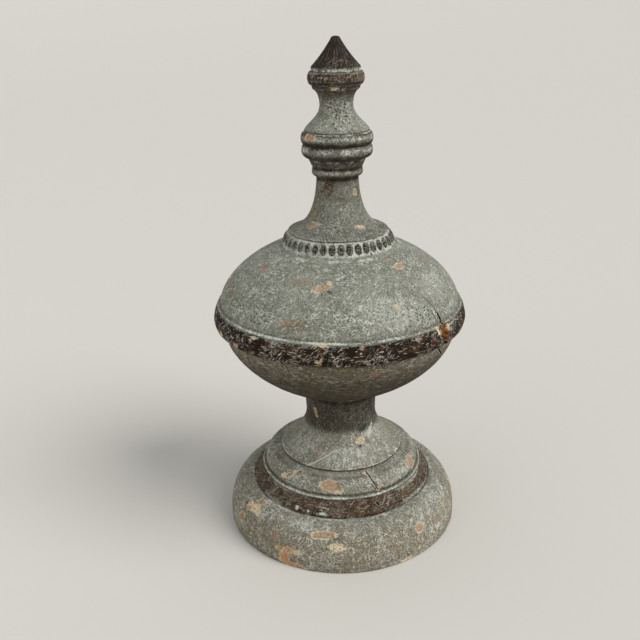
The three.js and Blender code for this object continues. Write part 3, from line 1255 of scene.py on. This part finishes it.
@dataclass
class Foot:
    """Domed skirt, dark band, step, bell and neck."""

    skirt_radius: float = 88.8
    skirt_edge: float = 0.8
    skirt_wall: float = 6.2
    skirt_crown: float = 26.0
    band_low_radius: float = 69.6
    band_top_radius: float = 61.2
    band_climb: float = 10.6
    band_hollow: float = 0.6
    edge_bead: Triple = (62.0, 59.6, 2.2)
    step_radius: float = 45.4
    step_climb: float = 12.4
    lip_radius: float = 46.8
    lip_climb: float = 1.8
    bell_radius: float = 26.4
    bell_climb: float = 28.8
    bell_handles: tuple[float, ...] = (0.46, 0.2, 1.0, 0.55)
    neck_radius: float = 27.3
    neck_climb: float = 17.7
    tenon: float = 3.0
    band_heights: tuple[float, float] = (33.4, 43.4)
    washes: Triples = ((45.0, 1.6, 0.58), (32.95, 1.0, 0.5), (60.1, 0.7, 0.4))
    shade_and_dirt_bands: Triples = ((56.6, 1.7, 0.5), (46.6, 0.9, 0.3), (30.6, 1.2, 0.2))
    grooves: Triples = ((33.6, 0.7, 0.9), (43.6, 0.6, 0.9), (58.2, 0.9, 0.7), (104.8, 1.5, 1.3))
    spans: Triples = ((-180, -90, BACK_STEP), (-90, 90, FRONT_STEP), (90, 180, BACK_STEP))
    rows: int = 248
    mean_radius: float = 60.0
    seed: int = 11

    def outline(self) -> Outline:
        """Draw the outline from the flat underside to the neck.

        Returns:
            The outline.
        """
        outline = Outline(0.0)
        outline.line(self.skirt_radius - self.skirt_edge, 0.0)
        outline.show()
        outline.line(self.skirt_radius, self.skirt_edge)
        outline.line(self.skirt_radius, self.skirt_wall)
        outline.crown(self.band_low_radius, self.skirt_crown)
        middle = (self.band_low_radius + self.band_top_radius) / 2 - self.band_hollow
        outline.line(middle, self.band_climb / 2)
        outline.line(self.band_top_radius, self.band_climb / 2)
        outline.ring(*self.edge_bead)
        outline.crown(self.step_radius, self.step_climb)
        outline.line(self.lip_radius, self.lip_climb / 2)
        outline.line(self.lip_radius, self.lip_climb / 2)
        outline.sweep(self.bell_radius, self.bell_climb, self.bell_handles)
        outline.line(self.neck_radius, self.neck_climb)
        outline.hide()
        outline.line(self.neck_radius, self.tenon)
        outline.line(0.0, 0.0)
        return outline

    def build(self, finish: bpy.types.Material) -> bpy.types.Object:
        """Make the piece and dress it.

        Args:
            finish: the paint.

        Returns:
            The piece.
        """
        skin = TurnedSkin(self.outline(), self.rows, columns_around(self.spans), self.mean_radius)
        relief, measures = Wear(FOOT_MARKS, FOOT_LINES).lay(skin)
        relief += hand_turned(skin, self.seed)

        # The brown band is worn narrow on its right, and a little on its left
        worn = 2.6 * skin.facing(56, 0.156, 0.26) + 1.6 * skin.facing(-50, 0.08, 0.2)
        measures["brown"] = np.maximum(measures["brown"], skin.between(*self.band_heights) - worn)
        # Whitewash lines; those along the step's edge bead and the bell's lip are partly painted
        # highlights
        measures["wash"] = WHITEWASH.on(skin, self.washes)
        measures["groove_shade"] = SHADE_AND_DIRT_LINES.on(skin, self.grooves)
        measures["ridge"] *= 0.75

        # The neck below the bowl is painted dark as the bulb's shadow, the foot of the skirt is a
        # little darker, and lines of painted shade with some dirt lie under the lip and along the band
        grime_and_shade = 2.1 * skin.above(77.0, 16) + 0.2 * skin.below(17.0, 14)
        measures["shade_and_grime"] = skin.even(grime_and_shade) + SHADE_AND_DIRT_LINES.on(skin, self.shade_and_dirt_bands)
        measures["brown_tint"] = skin.even(0.26 + 0.4 * skin.below(30.0, 16))

        # Upright strokes fan out over the lip, climb one side of the neck and cross the low skirt
        lip = np.clip(skin.between(59.8, 70.0) / 2.5, 0, 1) * skin.facing(8, 0.35, 0.35)
        neck_side = np.clip(skin.between(72.0, 98.0) / 4, 0, 1) * skin.facing(38, 0.3, 0.3)
        low_skirt = skin.below(22.0, 10)
        measures["upright"] = lip + neck_side + skin.even(0.4 * low_skirt)
        measures["combed"] = skin.even(np.maximum(0.6 * low_skirt, skin.above(84.0, 8)))
        return dress(skin.build("finial_foot", relief, measures), finish)


@dataclass
class Bulb:
    """Bowl, undercut rim band with its broken place, and dome."""

    seat_height: float = 106.5
    seat_radius: float = 29.0
    seat_climb: float = 1.9
    bowl_radius: float = 85.0
    bowl_climb: float = 54.6
    bowl_handles: tuple[float, ...] = (0.554, 0.23, 1.036, 0.634)
    rim_edge: tuple[float, float] = (91.1, 1.2)
    rim_radius: float = 92.0
    rim_belly: float = 3.4
    rim_top_radius: float = 88.6
    rim_face: float = 11.2
    rim_handles: tuple[float, ...] = (0.0, 0.4, 0.55, 0.75)
    ledge: tuple[float, float] = (86.8, 0.6)
    dome_radius: float = 40.6
    dome_climb: float = 41.0
    dome_handles: tuple[float, ...] = (0.018, 0.262, 0.306, 0.708)
    notch_turn: float = 51.0
    notch_floor: float = 87.2
    notch_mouth: float = 5.0
    notch_heel: float = 2.6
    notch_low: float = 163.0
    notch_climb: float = 16.0
    notch_middle: float = 171.3
    notch_half: float = 7.5
    shown_seat: float = 3.0
    rim_low: float = 163.2
    rim_heights: tuple[float, float] = (163.4, 177.6)
    ledge_wash: Triples = ((179.1, 0.8, 1.1),)
    washes: Triples = ((219.2, 1.4, 0.6), (109.4, 0.8, 0.45))
    grooves: Triples = ((178.0, 0.45, 0.9), (163.6, 0.6, 1.0))
    spans: Triples = (
        (-180, -90, BACK_STEP),
        (-90, 44, FRONT_STEP),
        (44, 58, BREAK_STEP),
        (58, 90, FRONT_STEP),
        (90, 180, BACK_STEP),
    )
    rows: int = 240
    mean_radius: float = 75.0
    seed: int = 23

    def outline(self) -> Outline:
        """Draw the outline from the seat on the neck to the dome's top.

        Returns:
            The outline.
        """
        outline = Outline(self.seat_height)
        outline.line(self.seat_radius - self.shown_seat, 0.0)
        outline.show()
        outline.line(self.seat_radius, 0.0)
        outline.line(self.seat_radius, self.seat_climb)
        outline.sweep(self.bowl_radius, self.bowl_climb, self.bowl_handles)
        outline.line(*self.rim_edge)
        outline.line(self.rim_radius, self.rim_belly)
        outline.sweep(self.rim_top_radius, self.rim_face, self.rim_handles)
        outline.line(*self.ledge)
        outline.sweep(self.dome_radius, self.dome_climb, self.dome_handles)
        outline.hide()
        outline.line(0.0, 0.0)
        return outline

    def notch(self, skin: TurnedSkin) -> tuple[np.ndarray, np.ndarray]:
        """Broken place in the rim band.

        Args:
            skin: the bulb's skin.

        Returns:
            The widest radius left, and the depth inside the break, both by row and column.
        """
        across = self.rim_radius * skin.gap(self.notch_turn)[None, :]
        height = skin.height[:, None]
        share = np.clip((height - self.notch_low) / self.notch_climb, 0, 1)

        # Two waves each make the torn sides and the splintered floor
        ragged = 0.4 * (0.5 * np.sin(height * 1.7) + 0.35 * np.sin(height * 4.1 + 1))
        half = self.notch_heel + (self.notch_mouth - self.notch_heel) * share + ragged
        side = half - np.abs(across - 0.9 * (1 - share) - ragged)
        inside = np.minimum(side, self.notch_half - np.abs(height - self.notch_middle))
        splinter = 0.5 * np.sin(across * 2.9) + 0.35 * np.sin(across * 6.3 + 2)
        floor = self.notch_floor + splinter + 1.2 * share
        steep = np.clip(inside / 0.9, 0, 1)
        open_radius = self.rim_radius + 3
        widest = open_radius + (floor - open_radius) * steep
        return np.where(inside > 0, widest, 2 * open_radius), inside

    def build(self, finish: bpy.types.Material) -> bpy.types.Object:
        """Make the piece and dress it.

        Args:
            finish: the paint.

        Returns:
            The piece.
        """
        skin = TurnedSkin(self.outline(), self.rows, columns_around(self.spans), self.mean_radius)
        relief, measures = Wear(BULB_MARKS, BULB_LINES).lay(skin)
        relief += hand_turned(skin, self.seed)
        measures["dark"] = skin.between(*self.rim_heights)

        # The whitewash on the ledge is thickest in front, a little to the left
        ledge = WHITEWASH.on(skin, self.ledge_wash) * np.maximum(skin.facing(-20, 0.45, 0.9), 0.25)
        measures["wash"] = ledge + WHITEWASH.on(skin, self.washes)
        measures["groove_shade"] = SHADE_AND_DIRT_LINES.on(skin, self.grooves)

        # Bowl and dome's top are brushed level; the bowl is painted darker as shade, more so further
        # down, and its brown tint is partly a painted warm reflection from below
        bowl = skin.height < self.rim_low
        measures["combed"] = skin.even(0.85 * skin.above(206.0, 10) + bowl)
        measures["shade_and_grime"] = skin.even((0.33 + 0.5 * skin.below(160.0, 60)) * bowl)
        measures["brown_tint"] = skin.even(0.75 * bowl)
        widest, inside = self.notch(skin)
        measures["bare"] = inside
        return dress(skin.build("finial_bulb", relief, measures, widest), finish)


@dataclass
class BeadedCollar:
    """Sloping collar with a row of carved oval beads."""

    seat_height: float = 215.4
    radius: float = 40.0
    wall: float = 5.6
    top_radius: float = 35.4
    climb: float = 9.0
    tenon: float = 2.0
    beads: int = 40
    bead_turn: float = 2.7
    bead_gap: float = 1.1
    bead_margin: float = 2.6
    bead_rise: float = 1.4
    bead_drift: tuple[float, float] = (0.14, 0.22)
    bead_uneven: float = 0.12
    shown_wall: float = 1.6
    shown_top: float = 2.0
    columns_per_bead: int = 22
    rows: int = 92
    mean_radius: float = 38.0
    bead_seed: int = 7
    seed: int = 31

    def outline(self) -> Outline:
        """Draw the outline from inside the dome to inside the spire's foot.

        Returns:
            The outline.
        """
        outline = Outline(self.seat_height)
        outline.line(self.radius, 0.0)
        outline.line(self.radius, self.wall - self.shown_wall)
        outline.show()
        outline.line(self.radius, self.shown_wall)
        outline.line(self.top_radius, self.climb)
        outline.line(self.top_radius - self.shown_top, 0.0)
        outline.hide()
        outline.line(self.top_radius - self.shown_top, self.tenon)
        outline.line(0.0, 0.0)
        return outline

    def build(self, finish: bpy.types.Material) -> bpy.types.Object:
        """Make the piece and dress it.

        Args:
            finish: the paint.

        Returns:
            The piece.
        """
        step = 360 / (self.beads * self.columns_per_bead)
        columns = columns_around(((-180, 180, step),))
        skin = TurnedSkin(self.outline(), self.rows, columns, self.mean_radius)
        relief, measures = Wear((), ()).lay(skin)
        slope = math.hypot(self.radius - self.top_radius, self.climb)
        middle_radius = (self.radius + self.top_radius) / 2
        half_width = (2 * math.pi * middle_radius / self.beads - self.bead_gap) / 2
        half_length = (slope - self.bead_margin) / 2
        pitch = 2 * math.pi / self.beads
        turn = (skin.columns - math.radians(self.bead_turn)) / pitch
        number = np.round(turn)
        draw = np.random.RandomState(self.bead_seed)
        jitter = draw.uniform(-1, 1, (4, self.beads))[:, number.astype(int) % self.beads]
        across = (turn - number) * pitch * middle_radius + self.bead_drift[0] * jitter[0]
        middle = skin.station(self.seat_height + self.wall + self.climb / 2)
        upward = (skin.along - middle)[:, None] + self.bead_drift[1] * jitter[1][None, :]
        share = np.hypot(across[None, :] / half_width, upward / half_length)
        rise = self.bead_rise * np.sqrt(np.clip(1 - share**2, 0, 1))
        relief += rise * (1 + self.bead_uneven * jitter[2]) + 0.4 * hand_turned(skin, self.seed)

        # Whitewash covers the rims of the beads, more on those to the left
        degrees = np.degrees(skin.columns)
        washed = np.clip((-degrees - 8) / 30, 0, 1) * (np.abs(degrees) < 120)
        inset = 0.5 * washed + 0.25 * np.clip(jitter[3], 0, 1) - 0.1
        measures["dark"] = (1 - share) * half_width - inset[None, :]
        measures["beads"] = np.ones(skin.shape)
        measures["ridge"] *= 0.3
        measures["wash"] = 1.6 * np.clip(share - 0.82, 0, 0.4) * np.clip(2.6 - share, 0, 1)
        return dress(skin.build("finial_beaded_collar", relief, measures), finish)


@dataclass
class Spire:
    """Flared stem, four rings, vase, torus and pointed cap."""

    seat_height: float = 229.2
    seat_radius: float = 33.6
    foot_radius: float = 35.2
    foot_ring: Triple = (35.7, 34.8, 1.2)
    stem_radius: float = 14.7
    stem_climb: float = 37.8
    stem_handles: tuple[float, ...] = (0.63, 0.05, 0.98, 0.44)
    low_ring: Triple = (17.8, 17.1, 5.4)
    ring_seat: tuple[float, float] = (20.2, 7.2)
    middle_ring: Triple = (24.6, 22.7, 9.1)
    top_ring: Triple = (24.9, 22.6, 8.2)
    vase_neck: float = 11.4
    vase_climb: float = 17.7
    vase_handles: tuple[float, ...] = (0.0, 0.26, 1.0, 0.51)
    mouth_radius: float = 16.0
    mouth_climb: float = 10.3
    mouth_handles: tuple[float, ...] = (0.0, 0.52, 0.35, 0.86)
    listel: tuple[float, float] = (16.5, 2.4)
    torus: Triple = (19.2, 16.6, 9.2)
    cap_wall: float = 2.6
    cap_tip_radius: float = 3.2
    cap_climb: float = 17.3
    cap_handles: tuple[float, ...] = (0.38, 0.283, 0.79, 0.717)
    tip_climb: float = 1.6
    collar_top: float = 230.0
    torus_heights: tuple[float, float] = (330.4, 338.6)
    torus_bare: float = 2.3
    cap_base: float = 340.6
    stem_top: float = 269.0
    ring_heights: tuple[float, float] = (282.0, 300.0)
    vase_top: float = 325.0
    washes: Triples = (
        (273.2, 1.1, 0.6),
        (280.6, 0.9, 0.5),
        (288.2, 1.7, 0.72),
        (296.4, 1.4, 0.55),
        (299.0, 0.45, 0.8),
        (327.0, 0.8, 0.4),
        (329.6, 0.6, 0.4),
        (339.2, 0.8, 0.8),
    )
    grooves: Triples = (
        (230.0, 0.5, 0.8),
        (268.2, 1.4, 0.9),
        (270.4, 1.2, 0.6),
        (275.4, 1.2, 0.8),
        (283.4, 1.8, 0.85),
        (292.2, 1.6, 0.85),
        (300.0, 0.4, 0.7),
        (326.0, 0.8, 0.5),
        (331.2, 1.0, 0.9),
    )
    rows: int = 280
    columns: int = 340
    mean_radius: float = 20.0
    seed: int = 41

    def outline(self) -> Outline:
        """Draw the outline from the seat in the collar to the tip.

        Returns:
            The outline.
        """
        outline = Outline(self.seat_height)
        outline.line(self.seat_radius, 0.0)
        outline.show()
        outline.line(self.seat_radius, self.collar_top - self.seat_height)
        outline.line(self.foot_radius, 0.0)
        outline.ring(*self.foot_ring)
        outline.sweep(self.stem_radius, self.stem_climb, self.stem_handles)
        outline.ring(*self.low_ring)
        outline.line(*self.ring_seat)
        outline.ring(*self.middle_ring)
        outline.ring(*self.top_ring)
        outline.sweep(self.vase_neck, self.vase_climb, self.vase_handles)
        outline.sweep(self.mouth_radius, self.mouth_climb, self.mouth_handles)
        outline.line(*self.listel)
        outline.ring(*self.torus)
        outline.line(self.torus[1], self.cap_wall)
        outline.sweep(self.cap_tip_radius, self.cap_climb, self.cap_handles)
        outline.crown(0.0, self.tip_climb)
        return outline

    def build(self, finish: bpy.types.Material) -> bpy.types.Object:
        """Make the piece and dress it.

        Args:
            finish: the paint.

        Returns:
            The piece.
        """
        columns = columns_around(((-180, 180, 360 / self.columns),))
        skin = TurnedSkin(self.outline(), self.rows, columns, self.mean_radius)
        relief, measures = Wear(SPIRE_MARKS, ()).lay(skin)

        # The unevenness dies away towards the tip
        relief += 0.7 * hand_turned(skin, self.seed) * np.clip(skin.radius / 10, 0, 1)[:, None]
        measures["dark"] = skin.even(skin.along - skin.station(self.cap_base))
        torus = skin.between(*self.torus_heights) - self.torus_bare
        measures["brown"] = np.maximum(measures["brown"], torus)
        # Whitewash lines; those along the tops of the rings are partly painted highlights
        measures["wash"] = WHITEWASH.on(skin, self.washes)
        measures["groove_shade"] = SHADE_AND_DIRT_LINES.on(skin, self.grooves)

        # Painted shade lies over the whole spire, heavier on the upper stem and the rings and lighter
        # on the vase, and is heavier on its faces turned down
        high_stem = skin.above(246.0, 16) * (skin.height < self.stem_top)
        rings = (skin.height > self.ring_heights[0]) & (skin.height < self.ring_heights[1])
        vase = (skin.height > self.ring_heights[1]) & (skin.height < self.vase_top)
        measures["shade_and_grime"] = skin.even(0.36 + 0.16 * high_stem + 0.12 * rings - 0.2 * vase)
        measures["under"] *= 1.5
        measures["ridge"] *= skin.even(np.where(skin.height < 232.5, 0.3, 0.7))

        # The cap is brushed from its edge up to the tip
        measures["upright"] = skin.even(np.clip((skin.height - 338.0) / 3, 0, 1))
        return dress(skin.build("finial_spire", relief, measures), finish)


def dress(piece: bpy.types.Object, finish: bpy.types.Material) -> bpy.types.Object:
    """Give a piece its paint and its place in the frame.

    Args:
        piece: the made piece.
        finish: the paint.

    Returns:
        The same piece.
    """
    piece.data.materials.append(finish)
    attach(piece, BODY)
    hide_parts(NODE)
    log.info("%s: %d points, %d faces", piece.name, len(piece.data.vertices), len(piece.data.polygons))
    return piece


class LampKind(Enum):
    """Kinds of light."""

    SUN = "SUN"
    AREA = "AREA"


@dataclass(frozen=True)
class Lamp:
    """Soft light turned to an aim; its breadth is in degrees for a sun and in metres for an area."""

    name: str
    kind: LampKind
    place: Triple
    breadth: float
    power: float
    colour: Triple
    aim: Triple = (0.0, 0.0, 0.0)

    def hang(self) -> None:
        """Put the light in the scene."""
        data = bpy.data.lights.new(self.name, self.kind.value)
        if self.kind is LampKind.SUN:
            data.angle = math.radians(self.breadth)
        else:
            data.size = self.breadth
        data.energy = self.power
        data.color = self.colour
        light = bpy.data.objects.new(self.name, data)
        turned = (Vector(self.aim) - Vector(self.place)).to_track_quat("-Z", "Y")
        light.matrix_world = Matrix.Translation(self.place) @ turned.to_matrix().to_4x4()
        bpy.context.scene.collection.objects.link(light)


@dataclass
class Studio:
    """Camera at the photograph's angle, soft lights and a pale floor that rises far off."""

    camera_place: Triple = (0.0, -0.5526, 0.3825)
    pitch: float = -21.882
    yaw: float = -1.494
    roll: float = -1.363
    lens: float = 45.0
    sensor: float = 36.0
    clip_range: tuple[float, float] = (0.01, 100.0)
    near_radii: tuple[float, ...] = (0.5, 1.5)
    level_radius: float = 3.0
    floor_radius: float = 50.0
    floor_rise: float = 0.01
    floor_rings: int = 80
    floor_sides: int = 128
    floor_colour: Colour = paint(214, 212, 206)
    lamps: tuple[Lamp, ...] = (
        Lamp("key", LampKind.SUN, (1.02, -0.5, 1.08), 38.0, 2.1, (1.0, 0.985, 0.96)),
        Lamp("fill", LampKind.AREA, (-1.3, -1.0, 1.2), 1.2, 2.0, (0.95, 0.98, 1.0), (0.0, 0.0, 0.18)),
    )
    sky_strength: float = 0.5

    def camera(self) -> None:
        """Set the camera where the photograph was taken from."""
        pitch, yaw, roll = (math.radians(angle) for angle in (self.pitch, self.yaw, self.roll))
        level_run = math.cos(pitch)
        ahead = Vector((math.sin(yaw) * level_run, math.cos(yaw) * level_run, math.sin(pitch)))
        right = Vector((math.cos(yaw), -math.sin(yaw), 0))
        over = right.cross(ahead)
        tilted_right = math.cos(roll) * right + math.sin(roll) * over
        tilted_over = math.cos(roll) * over - math.sin(roll) * right
        data = bpy.data.cameras.new("camera")
        data.lens = self.lens
        data.sensor_width = self.sensor
        data.clip_start, data.clip_end = self.clip_range
        camera = bpy.data.objects.new("camera", data)
        turned = Matrix((tilted_right, tilted_over, -ahead)).transposed()
        camera.matrix_world = Matrix.Translation(self.camera_place) @ turned.to_4x4()
        bpy.context.scene.collection.objects.link(camera)
        bpy.context.scene.camera = camera

    def backdrop(self) -> None:
        """Pale floor, level around the object and rising slowly far off."""
        sides = self.floor_sides
        turn = np.arange(sides) * 2 * math.pi / sides
        far_radii = np.linspace(self.level_radius, self.floor_radius, self.floor_rings)
        radii = np.concatenate([self.near_radii, far_radii])
        lift = self.floor_rise * np.clip(radii - self.level_radius, 0, None) ** 2
        corners = [(r * math.cos(a), r * math.sin(a), z) for r, z in zip(radii, lift) for a in turn]
        faces = [tuple(range(sides))]
        for row in range(len(radii) - 1):
            start = row * sides
            for side in range(sides):
                after = (side + 1) % sides
                faces.append((start + side, start + sides + side, start + sides + after, start + after))
        mesh = bpy.data.meshes.new("backdrop")
        mesh.from_pydata(corners, [], faces)
        mesh.polygons.foreach_set("use_smooth", [True] * len(mesh.polygons))
        floor = bpy.data.objects.new("backdrop", mesh)
        bpy.context.scene.collection.objects.link(floor)
        bench = Bench("pale_backdrop")
        sockets = {"Base Color": self.floor_colour, "Roughness": 0.9, "Specular IOR Level": 0.2}
        mesh.materials.append(bench.finish(bench.node("ShaderNodeBsdfPrincipled", {}, sockets)))

    def build(self) -> None:
        """Set up camera, backdrop, lights and sky."""
        self.camera()
        self.backdrop()
        for lamp in self.lamps:
            lamp.hang()
        world = bpy.data.worlds.new("sky")
        world.use_nodes = True
        background = world.node_tree.nodes["Background"]
        background.inputs["Color"].default_value = (1, 1, 1, 1)
        background.inputs["Strength"].default_value = self.sky_strength
        bpy.context.scene.world = world
        bpy.context.scene.view_settings.view_transform = "Standard"


def main() -> None:
    """Build the studio and the finial's pieces."""
    logging.basicConfig(level=logging.INFO, format="%(name)s %(message)s")
    Studio().build()
    finish = ChalkPaint().material("worn_chalk_paint")
    for maker in (Foot(), Bulb(), BeadedCollar(), Spire()):
        maker.build(finish)


if __name__ == "__main__":
    main()
